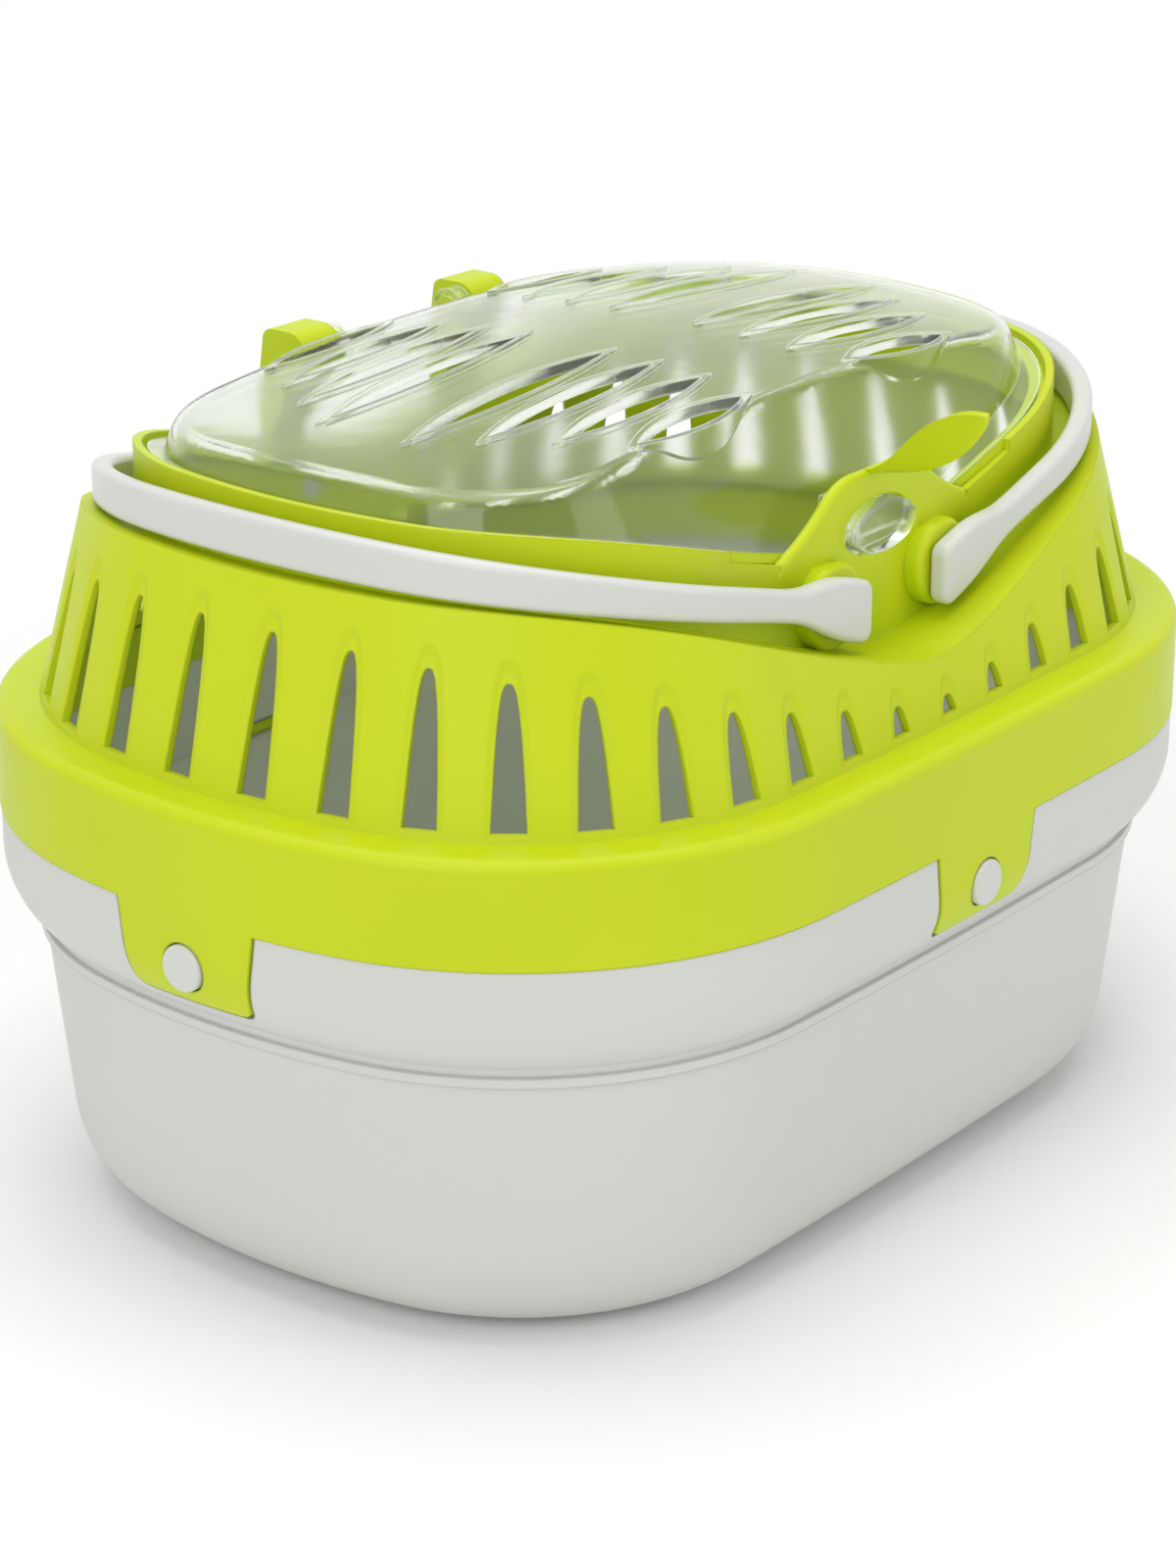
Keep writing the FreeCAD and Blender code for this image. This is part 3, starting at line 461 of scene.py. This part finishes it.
def floorMaterial(look):
    mat, tree, shader = newMaterial("paleFloor")
    setSockets(shader, {"Base Color": (*look["colour"], 1), "Roughness": look["roughness"]})
    coords = addNode(tree, "ShaderNodeTexCoord").outputs["Object"]
    away = addNode(tree, "ShaderNodeVectorMath", operation="LENGTH")
    tree.links.new(coords, away.inputs[0])
    fade = addNode(tree, "ShaderNodeMapRange", {"Value": away.outputs["Value"]},
                   interpolation_type="SMOOTHSTEP")
    setSockets(fade, {"From Min": look["fade"][0], "From Max": look["fade"][1]})
    white = addNode(tree, "ShaderNodeEmission")
    mixSurface(tree, fade.outputs["Result"], shader, white)
    return mat


def buildFloor(look):
    bm = bmesh.new()
    squares = look["squares"]
    bmesh.ops.create_grid(bm, x_segments=squares, y_segments=squares, size=look["size"] / 2)
    return meshObject("floor", bm, floorMaterial(look), smooth=False)


buildFloor(floorLook)
print("floor laid")

# studio: a white surround that lights less than it shows, and three soft lamps
studio = {"light": 0.45, "seen": 1.0, "lampAim": (0, 0, 0.1)}
world = bpy.data.worlds.new("studio")
scene.world = world
world.use_nodes = True
sky = world.node_tree
backdrop = sky.nodes["Background"]
setSockets(backdrop, {"Color": (1, 1, 1, 1)})
path = addNode(sky, "ShaderNodeLightPath").outputs
seen = anyRay(sky, path["Is Camera Ray"], path, ("Is Glossy Ray", "Is Transmission Ray"))
level = addNode(sky, "ShaderNodeMapRange", {"Value": seen})
setSockets(level, {"To Min": studio["light"], "To Max": studio["seen"]})
sky.links.new(level.outputs["Result"], backdrop.inputs["Strength"])

lamps = {"overhead": {"place": (0.0, 0.1, 1.5), "size": 1.4, "watts": 14.0},
         "leftKey": {"place": (-1.3, -0.4, 0.8), "size": 0.9, "watts": 7.0},
         "rightFill": {"place": (0.5, -1.4, 0.7), "size": 0.9, "watts": 4.0}}
for name, lamp in lamps.items():
    light = bpy.data.lights.new(name, "AREA")
    light.size = lamp["size"]
    light.energy = lamp["watts"]
    obj = bpy.data.objects.new(name, light)
    scene.collection.objects.link(obj)
    obj.location = lamp["place"]
    turnTo(obj, Vector(studio["lampAim"]))
print("studio lit")
